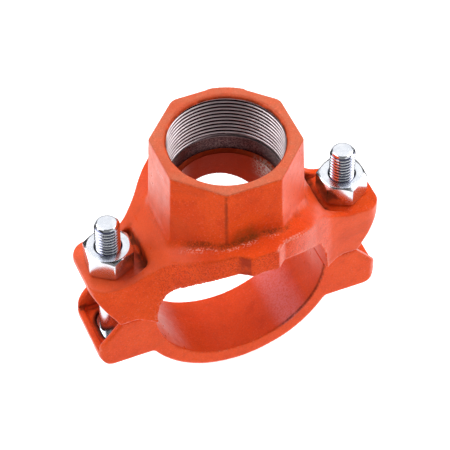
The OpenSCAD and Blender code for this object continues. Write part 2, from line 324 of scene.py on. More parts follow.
def gradient(field, p, h=0.04):
    """Direction in which a field grows fastest, at points p."""
    g = np.empty_like(p)
    for k in range(3):
        q, s = p.copy(), p.copy()
        q[:, k] += h
        s[:, k] -= h
        g[:, k] = field(*q.T) - field(*s.T)
    return g / np.maximum(np.linalg.norm(g, axis=1, keepdims=True), 1e-9)


def settle(field, p, steps, most):
    """Points moved onto the surface where the field is zero."""
    for _ in range(steps):
        d = field(*p.T)
        p = p - gradient(field, p) * np.clip(d, -most, most)[:, None]
    return p


def skin(field, low, high, step):
    """Points and quads of the surface of a field, one point per grid cell that it crosses."""
    before, after = 2.2 * step, 3.2 * step  # room round the box, so that the surface closes
    axes = [np.arange(a - before, b + after, step) for a, b in zip(low, high)]
    grid = field(axes[0][:, None, None], axes[1][None, :, None], axes[2][None, None, :])
    full = grid < 0
    shape = np.array(full.shape) - 1
    corners = [(i, j, k) for i in (0, 1) for j in (0, 1) for k in (0, 1)]
    count = sum(
        full[i:i + shape[0], j:j + shape[1], k:k + shape[2]].astype(np.int8) for i, j, k in corners
    )
    cells = np.argwhere((count > 0) & (count < 8))
    index = np.full(shape, -1, np.int64)
    index[tuple(cells.T)] = np.arange(len(cells))
    total, hits = np.zeros((len(cells), 3)), np.zeros(len(cells))
    for a in corners:
        for k in range(3):
            if a[k]:
                continue
            b = list(a)
            b[k] = 1
            da, db = grid[tuple((cells + a).T)], grid[tuple((cells + b).T)]
            crossed = (da < 0) != (db < 0)
            share = np.where(crossed, da / np.where(crossed, da - db, 1), 0)
            at = np.array(a, float)[None] + share[:, None] * (np.array(b) - np.array(a))[None]
            total[crossed] += at[crossed]
            hits += crossed
    start = np.array([a[0] for a in axes])
    points = start + step * (cells + total / hits[:, None])
    quads = []
    for k in range(3):
        u, v = (k + 1) % 3, (k + 2) % 3
        here, there = [slice(1, -1)] * 3, [slice(1, -1)] * 3
        here[k], there[k] = slice(0, -1), slice(1, None)
        a, b = full[tuple(here)], full[tuple(there)]
        at = np.argwhere(a != b)
        outward = a[tuple(at.T)]
        at[:, u] += 1
        at[:, v] += 1
        back_u, back_v = np.eye(3, dtype=int)[u], np.eye(3, dtype=int)[v]
        ring = [index[tuple(q.T)] for q in (at, at - back_u, at - back_u - back_v, at - back_v)]
        quad = np.stack(ring, 1)
        quads.append(np.where(outward[:, None], quad, quad[:, ::-1]))
    quads = np.concatenate(quads)
    points = settle(field, points, 3, 0.6 * step)
    # each round evens the grid out and brings it back to the surface
    for _ in range(3):
        edges = np.concatenate([quads[:, [m, (m + 1) % 4]] for m in range(4)])
        near = np.stack([np.bincount(edges[:, 0], points[edges[:, 1], m], len(points)) for m in range(3)], 1)
        near /= np.bincount(edges[:, 0], minlength=len(points))[:, None]
        points = settle(field, 0.5 * points + 0.5 * near, 1, 0.6 * step)
    return settle(field, points, 2, 0.3 * step), quads


# ---------------------------------------------------------------- smooth random fields
def lattice(seed):
    """Random values on a cube of grid points."""
    return np.random.default_rng(seed).uniform(-1, 1, (LATTICE, LATTICE, LATTICE))


def rumple(points, scale, table):
    """Smooth random height between -1 and 1 at points, with bumps about one scale apart."""
    q = points / scale
    cell = np.floor(q).astype(int)
    f = q - cell
    f = f * f * (3 - 2 * f)
    out = 0.0
    for i in (0, 1):
        for j in (0, 1):
            for k in (0, 1):
                w = (f[:, 0] if i else 1 - f[:, 0]) * (f[:, 1] if j else 1 - f[:, 1])
                w = w * (f[:, 2] if k else 1 - f[:, 2])
                out = out + w * table[tuple(((cell + (i, j, k)) % LATTICE).T)]
    return out


# ---------------------------------------------------------------- meshes
def make_piece(name, points, faces):
    """A mesh object from points in millimetres."""
    mesh = bpy.data.meshes.new(name)
    faces = faces.tolist() if isinstance(faces, np.ndarray) else faces
    mesh.from_pydata((np.asarray(points) * MM).tolist(), [], faces)
    mesh.update()
    piece = bpy.data.objects.new(name, mesh)
    bpy.context.scene.collection.objects.link(piece)
    return piece


def combine(piece, tool, operation):
    """Piece cut by, joined with or limited to a closed tool, which is used up."""
    modifier = piece.modifiers.new("shape", "BOOLEAN")
    modifier.operation = operation
    modifier.solver = "MANIFOLD"
    modifier.object = tool
    bpy.context.view_layer.update()
    found = bpy.data.meshes.new_from_object(piece.evaluated_get(bpy.context.evaluated_depsgraph_get()))
    piece.modifiers.clear()
    old, piece.data = piece.data, found
    found.name = piece.name
    bpy.data.meshes.remove(old)
    used = tool.data
    bpy.data.objects.remove(tool)
    bpy.data.meshes.remove(used)
    return piece


def lathe(name, outline, columns, centre=(0.0, 0.0)):
    """Closed solid of revolution about a vertical line.

    The outline is (radius, z) from bottom to top, and lies on the axis at both ends.
    """
    turn = 2 * math.pi * np.arange(columns) / columns
    rings = outline[1:-1]
    points = [(centre[0], centre[1], outline[0][1])]
    for r, z in rings:
        ring = np.stack([centre[0] + r * np.cos(turn), centre[1] + r * np.sin(turn), np.full(columns, z)], 1)
        points.extend(ring.tolist())
    points.append((centre[0], centre[1], outline[-1][1]))
    faces = []
    last = len(points) - 1
    for j in range(columns):
        k = (j + 1) % columns
        faces.append((0, 1 + k, 1 + j))
        for i in range(len(rings) - 1):
            a, b = 1 + i * columns, 1 + (i + 1) * columns
            faces.append((a + j, a + k, b + k, b + j))
        top = 1 + (len(rings) - 1) * columns
        faces.append((last, top + j, top + k))
    return make_piece(name, points, faces)


def screw(name, low, high, pitch, shape, columns, centre=(0.0, 0.0)):
    """Closed solid inside a right-hand thread, with its shape as (phase, radius) over one pitch, upward."""
    per = len(shape)
    turns = int(math.ceil((high - low) / pitch)) + 1
    rows = per * turns
    phase = np.array([s[0] for s in shape])
    radius = np.array([s[1] for s in shape])
    start = math.floor(low / pitch) * pitch
    i, j = np.meshgrid(np.arange(rows + per), np.arange(columns), indexing="ij")
    height = start + pitch * (i // per + phase[i % per] + j / columns)
    r = radius[i % per]
    turn = 2 * math.pi * j / columns
    points = np.stack([centre[0] + r * np.cos(turn), centre[1] + r * np.sin(turn), height], -1)
    number = np.full((rows + per, columns + 1), -1)
    number[:rows, :columns] = np.arange(rows * columns).reshape(rows, columns)
    number[rows:, 0] = rows * columns + np.arange(per)
    number[:rows, columns] = number[per:rows + per, 0]
    points = np.concatenate([points[:rows].reshape(-1, 3), points[rows:, 0]])
    quads = np.stack(
        [number[:rows - 1, :-1], number[:rows - 1, 1:], number[1:rows, 1:], number[1:rows, :-1]], -1
    ).reshape(-1, 4)
    bottom = list(number[0, :columns]) + list(number[per:0:-1, 0])
    top = [number[rows - 1, columns]] + list(number[rows - 1, columns - 1::-1])
    top += list(number[rows:rows + per - 1, 0])
    ends = [[*centre, start + 0.5 * pitch], [*centre, start + pitch * (turns + 0.5)]]
    base = len(points)
    faces = quads.tolist()
    for hub, ring in ((base, bottom), (base + 1, top)):
        for a, b in zip(ring, ring[1:] + ring[:1]):
            faces.append([int(b), int(a), hub])
    return make_piece(name, np.concatenate([points, ends]), faces)


def prism(name, outline, low, high):
    """Closed upright solid over a convex outline that runs counter-clockwise."""
    n = len(outline)
    points = [(x, y, low) for x, y in outline] + [(x, y, high) for x, y in outline]
    faces = [tuple(range(n - 1, -1, -1)), tuple(range(n, 2 * n))]
    faces += [(k, (k + 1) % n, n + (k + 1) % n, n + k) for k in range(n)]
    return make_piece(name, points, faces)


def shade(piece, degrees):
    """Smooth shading with sharp edges where the surface turns by more than so many degrees."""
    mesh = piece.data
    mesh.polygons.foreach_set("use_smooth", [True] * len(mesh.polygons))
    mesh.set_sharp_from_angle(angle=math.radians(degrees))


def points_of(piece):
    """The piece's points in millimetres."""
    co = np.empty(len(piece.data.vertices) * 3)
    piece.data.vertices.foreach_get("co", co)
    return co.reshape(-1, 3) / MM


def mark(piece, name, values):
    """A number for each point of a piece, for its material."""
    layer = piece.data.attributes.new(name, "FLOAT", "POINT")
    layer.data.foreach_set("value", np.clip(values, 0, 1).astype(np.float32))


def dress(piece, *materials):
    """The piece's materials, in place of what the cutting tools left on it."""
    piece.data.materials.clear()
    for material in materials:
        piece.data.materials.append(material)


def ramp_between(value, low, high):
    """A smooth step from 0 at low to 1 at high."""
    t = np.clip((value - low) / (high - low), 0, 1)
    return t * t * (3 - 2 * t)


def fall_between(value, low, high):
    """A smooth step from 1 at low to 0 at high."""
    return 1 - ramp_between(value, low, high)


def cast_marks(piece, field):
    """Marks where a casting is hollow, where it has an edge, and where its skin is rough."""
    p = points_of(piece)
    x, y, z = p.T
    normal = gradient(field, p)
    hollow = [1 - field(*(p + normal * reach).T) / reach for reach in HOLLOW_REACH]
    edge = EDGE_GAIN * (1 + field(*(p - normal * EDGE_REACH).T) / EDGE_REACH)
    mark(piece, "hollow", np.maximum(*hollow))
    mark(piece, "edge", edge)
    upright = fall_between(np.abs(normal[:, 2]), *COARSE_LEVEL_TO)
    outer = ramp_between(np.hypot(x, y), *COARSE_R_FROM) * ramp_between(z, *COARSE_Z_FROM)
    arm = 1 - COARSE_ARM_LOSS * ramp_between(np.abs(x), *COARSE_ARM_X)
    mark(piece, "coarse", upright * outer * arm)
    return p, normal, np.clip(edge, 0, 1)


# ---------------------------------------------------------------- castings
def cast_piece(name, field, low, high):
    """A casting's skin, a little uneven everywhere but on the machined top of the outlet."""
    points, quads = skin(field, np.array(low), np.array(high), VOXEL)
    normal = gradient(field, points)
    rough = fall_between(points[:, 2], OUTLET_TOP - 2.0, OUTLET_TOP - 0.4)
    bump = sum(height * rumple(points, spacing, lattice(seed)) for height, spacing, seed in SKIN_WAVES)
    points = points - normal * (SKIN_SHRINK + bump * rough)[:, None]
    return make_piece(name, points, quads)


def pipe_thread_shape():
    """One pitch of the pipe thread, from the middle of its root upward."""
    steps, crest_flat, flank_width, round_share = 12, 0.1, 0.3, 0.35
    shape = []
    for k in range(steps):
        t = k / steps
        rise = 0.5 + 0.5 * math.cos(2 * math.pi * t)
        flank = 1 - min(1.0, max(0.0, (abs((t + 0.5) % 1 - 0.5) - crest_flat) / flank_width))
        depth = round_share * rise + (1 - round_share) * flank
        shape.append((t, THREAD_CREST_R + THREAD_DEPTH * depth))
    return shape


def outlet_cutter():
    """Everything the machine takes out of the outlet: mouth, pipe thread and plain band."""
    columns, spare = 144, 3
    low, high = THREAD_END_Z - spare, OUTLET_TOP + spare
    thread = screw("outlet_thread", low, high, THREAD_PITCH, pipe_thread_shape(), columns)
    # the thread runs out to its crest under the mouth
    p = points_of(thread)
    wide = np.hypot(p[:, 0], p[:, 1])
    shallow = ramp_between(p[:, 2], OUTLET_TOP - 2.9, OUTLET_TOP - 1.1)
    kept = np.where(wide > 1, 1 - shallow * (wide - THREAD_CREST_R) / np.maximum(wide, 1), 1)
    p[:, :2] *= kept[:, None]
    thread.data.vertices.foreach_set("co", (p * MM).astype(np.float32).ravel())
    wide_r, above = 60, OUTLET_TOP + 1
    slab = [(0, THREAD_END_Z), (wide_r, THREAD_END_Z), (wide_r, above), (0, above)]
    combine(thread, lathe("slab", slab, 96), "INTERSECT")
    mouth_r, mouth_low, over = THREAD_CREST_R + MOUTH_CHAMFER, OUTLET_TOP - MOUTH_CHAMFER, 1.2
    plain = [
        (0, BAND_END_Z - 1), (BAND_R - 2.0, BAND_END_Z - 1), (BAND_R, BAND_END_Z),
        (BAND_R, THREAD_END_Z - 0.3), (BAND_R, THREAD_END_Z + 0.3),
        (BAND_R, mouth_low - 1), (THREAD_CREST_R - 0.2, mouth_low - 0.2),
        (mouth_r, OUTLET_TOP), (mouth_r + over, OUTLET_TOP + over), (0, OUTLET_TOP + over),
    ]
    return combine(thread, lathe("plain", plain, 144), "UNION")


def mark_upper(piece):
    """Marks of the upper casting: machined places, wear, grime, painted shade and painted highlights."""
    p, normal, edge = cast_marks(piece, upper_field)
    x, y, z = p.T
    r = np.hypot(x, y)
    level = np.abs(normal[:, 2])
    away = boss_field(x, y, z)
    turn = np.degrees(np.arctan2(y, x))
    ahead = ramp_between(turn, *FRONT_FROM) * fall_between(turn, *FRONT_TO)
    # the machined outlet
    mark(piece, "groove", np.where(z > THREAD_END_Z + 0.4, (r - THREAD_CREST_R) / THREAD_DEPTH, 0.0))
    mark(piece, "plain", fall_between(z, THREAD_END_Z - 0.2, THREAD_END_Z + 0.3))
    # painted highlight: the top face of the outlet is marked for paler paint
    mark(piece, "level", ramp_between(z, OUTLET_TOP - 0.5, OUTLET_TOP - 0.2))
    # the boss: a stained flat, a seam on its front corner, grime and glints round its foot
    across, along, up = [(value - at) / size for value, at, size in zip(p.T, STAIN_AT, STAIN_SIZE)]
    mark(piece, "stain", fall_between(np.hypot(np.hypot(across, along), up), *STAIN_TO))
    foot = ramp_between(away, *FOOT_AWAY_FROM) * fall_between(away, *FOOT_AWAY_TO)
    mark(piece, "foot", foot * (FOOT_BEHIND + (1 - FOOT_BEHIND) * ahead))
    beside = np.abs(turn - SEAM_ANGLE) * math.pi / 180 * r
    mark(piece, "seam", fall_between(beside, *SEAM_W_TO) * (np.abs(away) < SEAM_AWAY) * (z < SEAM_TOP_Z))
    mark(piece, "glint", ramp_between(away, *GLINT_AWAY_FROM) * fall_between(away, *GLINT_AWAY_TO) * ahead)
    # the front: painted shade on the ramp face left of the tab, and a painted highlight along the upper edge
    # right of it
    nook_shade = ramp_between(-y, *NOOK_DEPTH_FROM) * ramp_between(x, *NOOK_X_FROM)
    nook_shade = nook_shade * fall_between(level, *NOOK_LEVEL_TO) * fall_between(x, *NOOK_X_TO)
    mark(piece, "nook_shade", nook_shade * (z > NOOK_LOW_Z))
    # painted highlight along the upper edge right of the tab
    lit = ramp_between(x, *BROW_X_FROM) * fall_between(x, *BROW_X_TO)
    high = (np.hypot(x, z) > BROW_R) & (y < BROW_Y) & (away > BROW_AWAY)
    mark(piece, "brow_highlight", lit * ramp_between(edge, *BROW_EDGE_FROM) * high)
    # grime and painted shade in the nut pockets, and gloss with a painted sheen on the left shoulder and the
    # right arm
    pocket_grime_and_shade = fall_between(np.abs(x), *GRIME_SHADE_X_TO) * ramp_between(np.abs(x), *GRIME_SHADE_X_FROM)
    pocket_grime_and_shade = pocket_grime_and_shade * fall_between(np.abs(y), *GRIME_SHADE_Y_TO)
    pocket_grime_and_shade = pocket_grime_and_shade * fall_between(z, *GRIME_SHADE_Z_TO) * ramp_between(z, *GRIME_SHADE_Z_FROM)
    mark(piece, "pocket_grime_and_shade", pocket_grime_and_shade)
    lee = fall_between(x, *LEE_X_TO) * ramp_between(away, *LEE_AWAY_FROM)
    lee = lee * ramp_between(normal[:, 2], *LEE_LEVEL_FROM)
    lee = lee * (z > LEE_LOW_Z) * fall_between(-y, *LEE_DEPTH_TO)
    arm = ARM_SHEEN * ramp_between(x, *ARM_X_FROM) * ramp_between(-normal[:, 1], *ARM_FACING_FROM)
    # the sheen makes the paint glossier and, as a painted highlight, paler
    mark(piece, "sheen", np.maximum(lee, arm) * (1 - GRIME_SHADE_DULLS * pocket_grime_and_shade))
    # the painted waterway, darkened as painted shade, with its flaked patch
    inside = ramp_between(z, *INSIDE_Z_FROM) * (r < BAND_R + INSIDE_SPARE)
    mark(piece, "inside", inside)
    peel = fall_between(np.abs(turn - PEEL_ANGLE), *PEEL_TURN_TO) * ramp_between(z, *PEEL_Z_FROM)
    mark(piece, "peel", peel * inside)


def bare_faces(piece):
    """Which faces of the upper casting the machine has cut: chamfer, thread and band."""
    centre = np.empty(len(piece.data.polygons) * 3)
    piece.data.polygons.foreach_get("center", centre)
    x, y, z = (centre.reshape(-1, 3) / MM).T
    r = np.hypot(x, y)
    chamfer_r = THREAD_CREST_R + MOUTH_CHAMFER - OUTLET_TOP + z
    bare = (r < THREAD_CREST_R + THREAD_DEPTH + 0.05) & (z > BAND_END_Z + 0.02)
    bare &= (z < OUTLET_TOP - 1.0) | (r > chamfer_r + 0.08)
    return bare & (z < OUTLET_TOP - 0.7)


def build_upper():
    """The upper casting, bored, threaded, marked and painted."""
    low, high = (-PAD_END, -TAB_Y, -6.0), (PAD_END, TAB_Y, OUTLET_TOP)
    piece = cast_piece("upper_casting", upper_field, low, high)
    combine(piece, outlet_cutter(), "DIFFERENCE")
    mark_upper(piece)
    dress(piece, paint, cut_iron)
    piece.data.polygons.foreach_set("material_index", bare_faces(piece).astype(np.int32))
    shade(piece, 48)
    return piece


def build_lower():
    """The lower casting, marked and painted."""
    low, high = (-LUG_END, -ARM_HALF_W, -STRAP_R), (LUG_END, ARM_HALF_W, 1.0)
    piece = cast_piece("lower_casting", lower_field, low, high)
    p = cast_marks(piece, lower_field)[0]
    x, y, z = p.T
    r_run = np.hypot(x, z)
    turn = np.degrees(np.arctan2(z, x))
    lip = fall_between(np.abs(r_run - LIP_R), *LIP_R_TO) * ramp_between(-y, *LIP_DEPTH_FROM)
    mark(piece, "lip", lip * ramp_between(turn, *LIP_TURN_FROM))
    # painted sheen: all of the lower casting's paint is a little paler, as well as glossier
    mark(piece, "sheen", np.full(len(p), STRAP_SHEEN))
    # painted shade: a dark ring round the neck hole stands for the shadowed gap
    outward = ramp_between(np.abs(x), *WELL_X_FROM)
    neck_gap_shade = fall_between(neck_gap(np.abs(x), np.abs(y)), *WELL_GAP_TO)
    mark(piece, "neck_gap_shade", neck_gap_shade * outward * (z > WELL_LOW_Z))
    # painted reflection: a pale patch on the strap's inner right side
    strap_highlight = ramp_between(turn, *HIGHLIGHT_TURN_FROM) * fall_between(turn, *HIGHLIGHT_TURN_TO)
    mark(piece, "strap_highlight", (r_run < RUN_R + HIGHLIGHT_SPARE) * strap_highlight)
    dress(piece, paint)
    shade(piece, 55)
    return piece


# ---------------------------------------------------------------- fasteners
HEAD_PROFILE = ((4.5, 0.0), (7.6, 0.5), (9.8, 1.7), (11.3, 3.5), (HEAD_R - 0.1, 5.2), (HEAD_R, 6.2))
TIP_PROFILE = ((0.0, 1.5), (1.125, 0.35), (1.475, 0.1), (2.025, 0.0))  # inward, and below the tip
THREAD_PROFILE = (  # share of the pitch from the crest's middle upward, and share of the depth
    (0.0, 0.0), (0.04, 0.0), (0.075, 0.06), (0.24, 0.5), (0.40, 0.93), (0.45, 1.0),
    (0.55, 1.0), (0.60, 0.93), (0.76, 0.5), (0.925, 0.06), (0.96, 0.0),
)
FASTENER_COLUMNS = 72
CUT_R = 30  # wider than any fastener


def thread_shape(r, depth):
    """One pitch of a sixty-degree thread, from the crest's middle upward."""
    return [(phase, r - depth * part) for phase, part in THREAD_PROFILE]


def build_bolt(side, name):
    """Track bolt: round head, oval neck, shank and cut thread with a chamfered tip."""
    x = side * BOLT_X
    blank = [(0, HEAD_BOTTOM)]
    blank += [(r, HEAD_BOTTOM + rise) for r, rise in HEAD_PROFILE]
    blank += [(HEAD_R - 0.15, LUG_BOTTOM_Z - 0.25), (HEAD_R - 0.6, LUG_BOTTOM_Z), (BOLT_R, LUG_BOTTOM_Z)]
    blank += [(BOLT_R - inward, BOLT_TOP - drop) for inward, drop in TIP_PROFILE]
    piece = lathe(name, blank + [(0, BOLT_TOP)], 96, (x, 0.0))
    shape = thread_shape(BOLT_R, BOLT_DEPTH)
    thread = screw("thread", BOLT_THREAD_END, BOLT_TOP + 2, BOLT_PITCH, shape, FASTENER_COLUMNS, (x, 0.0))
    top = [(0, BOLT_THREAD_END), (CUT_R, BOLT_THREAD_END), (CUT_R, BOLT_TOP + 1), (0, BOLT_TOP + 1)]
    combine(thread, lathe("top", top, 48, (x, 0.0)), "INTERSECT")
    run_out = BOLT_THREAD_END + 1.4
    under = [(0, HEAD_BOTTOM - 1), (CUT_R, HEAD_BOTTOM - 1), (CUT_R, BOLT_THREAD_END)]
    under += [(BOLT_R + 0.1, BOLT_THREAD_END), (BOLT_R - BOLT_DEPTH, run_out), (0, run_out)]
    combine(thread, lathe("under", under, 96, (x, 0.0)), "UNION")
    combine(piece, thread, "INTERSECT")
    turn = np.radians(np.arange(0, 180.1, 7.5))
    oval = [(x + NECK_R * math.cos(t), NECK_SHIFT + NECK_R * math.sin(t)) for t in turn]
    oval += [(x - NECK_R * math.cos(t), -NECK_SHIFT - NECK_R * math.sin(t)) for t in turn]
    combine(piece, prism("neck", oval, LUG_BOTTOM_Z - 0.5, NECK_TOP_Z), "UNION")
    dress(piece, zinc)
    p = points_of(piece)
    cut = (BOLT_R - np.hypot(p[:, 0] - x, p[:, 1])) / BOLT_DEPTH
    threaded = (p[:, 2] > BOLT_THREAD_END) & (p[:, 2] < BOLT_TOP - 1.3)
    mark(piece, "groove", np.where(threaded, cut, 0.0))
    shade(piece, 38)
    return piece


def build_nut(side, name, turn):
    """Hexagon nut with softened corners, chamfered flats, internal thread and countersinks."""
    x = side * BOLT_X
    corner_r = NUT_AF / 2 / math.cos(math.pi / 6)
    soft = math.radians(1.6)
    outline = []
    for k in range(6):
        for offset in (-soft, -soft / 3, soft / 3, soft):
            a = turn + math.radians(60 * k) + offset
            r = NUT_AF / 2 / math.cos(math.pi / 6 - abs(offset)) - 0.03 * (1 - abs(offset) / soft)
            outline.append((x + r * math.cos(a), r * math.sin(a)))
    piece = prism(name, outline, SEAT_Z, NUT_TOP)
    flat_r, past_r, ease = NUT_AF / 2 - 0.55, corner_r + 1, 0.06
    fall = (past_r - flat_r) * math.tan(math.radians(30))
    blank = [
        (0, SEAT_Z), (flat_r - 0.3, SEAT_Z), (flat_r, SEAT_Z + ease), (past_r, SEAT_Z + ease + fall),
        (past_r, NUT_TOP - ease - fall), (flat_r, NUT_TOP - ease), (flat_r - 0.3, NUT_TOP), (0, NUT_TOP),
    ]
    combine(piece, lathe("blank", blank, 120, (x, 0.0)), "INTERSECT")
    clearance, depth_share = 0.1, 0.94
    shape = thread_shape(BOLT_R + clearance, BOLT_DEPTH * depth_share)
    hollow = screw("hollow", SEAT_Z - 4, NUT_TOP + 4, BOLT_PITCH, shape, FASTENER_COLUMNS, (x, 0.0))
    combine(piece, hollow, "DIFFERENCE")
    sink_r, sink = BOLT_R + 0.75, 1.6
    for face, out in ((NUT_TOP, 1), (SEAT_Z, -1)):
        cone = [(0, face - sink * out), (sink_r - sink, face - sink * out), (sink_r, face)]
        cone += [(sink_r + 1, face + out), (0, face + out)]
        combine(piece, lathe("sink", cone[::out], 96, (x, 0.0)), "DIFFERENCE")
    dress(piece, zinc)
    p = points_of(piece)
    mark(piece, "groove", (BOLT_R + 0.9 - np.hypot(p[:, 0] - x, p[:, 1])) / 0.8)
    shade(piece, 30)
    return piece


def build_gasket():
    """Rubber ring with rounded lips, saddled over the run pipe."""
    columns = 144
    lip_r = 1.0
    inner, outer = COLLAR_R + 0.1 + lip_r, GASKET_R - lip_r
    low, high = PIPE_R + lip_r, RECESS_TOP_R - 0.1 - lip_r
    section = []
    for cx, cz, start in ((outer, high, 0), (inner, high, 90), (inner, low, 180), (outer, low, 270)):
        for step in range(5):
            a = math.radians(start + 22.5 * step)
            section.append((cx + lip_r * math.cos(a), cz + lip_r * math.sin(a)))
    points = []
    for j in range(columns):
        t = 2 * math.pi * j / columns
        for ring_r, run in section:
            px, py = ring_r * math.cos(t), ring_r * math.sin(t)
            points.append((px, py, math.sqrt(run * run - px * px)))
    n = len(section)
    faces = []
    for j in range(columns):
        k = (j + 1) % columns
        for i in range(n):
            m = (i + 1) % n
            faces.append((j * n + i, k * n + i, k * n + m, j * n + m))
    piece = make_piece("gasket_ring", points, faces)
    dress(piece, rubber)
    shade(piece, 50)
    return piece


# ---------------------------------------------------------------- materials
class Nodes:
    """A short way to write a material's node tree."""

    def __init__(self, name):
        self.material = bpy.data.materials.new(name)
        self.material.use_nodes = True
        self.tree = self.material.node_tree
        self.shader = self.tree.nodes["Principled BSDF"]
        self.place = self.add("ShaderNodeTexCoord").outputs["Object"]

    def add(self, kind, **settings):
        node = self.tree.nodes.new(kind)
        for key, value in settings.items():
            setattr(node, key, value)
        return node

    def link(self, a, b):
        self.tree.links.new(a, b)

    def put(self, socket, value):
        """A link or a fixed value into a socket."""
        if isinstance(value, bpy.types.NodeSocket):
            self.link(value, socket)
        else:
            socket.default_value = value

    def put_all(self, **values):
        """Links or fixed values into the shader's inputs, with _ for each space in a name."""
        for name, value in values.items():
            self.put(self.shader.inputs[name.replace("_", " ")], value)

    def noise(self, scale, detail=3.0, roughness=0.55, distortion=0.0, place=None):
        node = self.add("ShaderNodeTexNoise")
        self.link(self.place if place is None else place, node.inputs["Vector"])
        node.inputs["Scale"].default_value = scale
        node.inputs["Detail"].default_value = detail
        node.inputs["Roughness"].default_value = roughness
        node.inputs["Distortion"].default_value = distortion
        return node.outputs["Fac"]

    def cells(self, scale):
        """Distance to the nearest of many scattered points."""
        node = self.add("ShaderNodeTexVoronoi", feature="F1")
        self.link(self.place, node.inputs["Vector"])
        node.inputs["Scale"].default_value = scale
        return node.outputs["Distance"]

    def number(self, name):
        """One of the numbers that mark() gave the piece's points."""
        return self.add("ShaderNodeAttribute", attribute_name=name).outputs["Fac"]

    def math(self, operation, a, b):
        node = self.add("ShaderNodeMath", operation=operation)
        self.put(node.inputs[0], a)
        self.put(node.inputs[1], b)
        return node.outputs[0]

    def times(self, a, b):
        return self.math("MULTIPLY", a, b)

    def span(self, value, low, high, to_low=0.0, to_high=1.0):
        """A value from low to high brought smoothly to another range."""
        node = self.add("ShaderNodeMapRange", interpolation_type="SMOOTHSTEP")
        self.put(node.inputs["Value"], value)
        node.inputs["From Min"].default_value = low
        node.inputs["From Max"].default_value = high
        node.inputs["To Min"].default_value = to_low
        node.inputs["To Max"].default_value = to_high
        return node.outputs["Result"]

    def broken(self, name, noise, *span):
        """A mark broken up by a noise."""
        return self.times(self.number(name), self.span(noise, *span))

    def mix(self, share, a, b):
        node = self.add("ShaderNodeMix", data_type="RGBA")
        self.put(node.inputs["Factor"], share)
        for socket, value in ((node.inputs[6], a), (node.inputs[7], b)):
            self.put(socket, value if isinstance(value, bpy.types.NodeSocket) else (*value, 1.0))
        return node.outputs[2]

    def bump(self, height, strength, distance, below=None):
        node = self.add("ShaderNodeBump")
        self.put(node.inputs["Height"], height)
        self.put(node.inputs["Strength"], strength)
        node.inputs["Distance"].default_value = distance
        if below is not None:
            self.link(below, node.inputs["Normal"])
        return node.outputs["Normal"]


RED, DEEP_RED = (0.93, 0.094, 0.014), (0.87, 0.076, 0.012)
PAINT_LAYERS = {  # the colour of each layer over the red, from the lowest up
    "patch": (0.70, 0.052, 0.011),
    # painted highlight on the outlet's top face
    "pale": (0.62, 0.158, 0.082),
    "dark_grain": (0.50, 0.034, 0.012),
    "light_grain": (1.0, 0.21, 0.12),
    "speck": (0.10, 0.02, 0.012),
    # grime and painted shade in the hollows
    "crease_grime_and_shade": (0.085, 0.020, 0.008),
    "foot": (0.20, 0.040, 0.010),
    # grime and painted shade in the nut pockets
    "pocket_grime_and_shade": (0.11, 0.024, 0.009),
    # painted sheen: paler paint
    "sheen": (1.0, 0.14, 0.045),
    # painted shade on the ramp face left of the tab
    "nook_shade": (0.36, 0.030, 0.010),
    # painted highlight along the upper edge right of the tab
    "brow_highlight": (1.0, 0.46, 0.38),
    "glint": (1.0, 0.42, 0.33),
    # worn edges and painted edge highlights
    "edge_wear_and_highlight": (0.95, 0.28, 0.17),
    "stain": (0.24, 0.075, 0.012),
    "seam": (0.25, 0.035, 0.010),
    "smudge": (0.62, 0.066, 0.018),
    # painted shade round the neck hole
    "neck_gap_shade": (0.03, 0.008, 0.006),
    # painted reflection on the strap's inner right side
    "strap_highlight": (1.0, 0.27, 0.26),
    "lip": (0.16, 0.014, 0.006),
    # painted shade inside the waterway
    "inside": (0.22, 0.016, 0.006),
    "flake": (0.50, 0.36, 0.30),
}


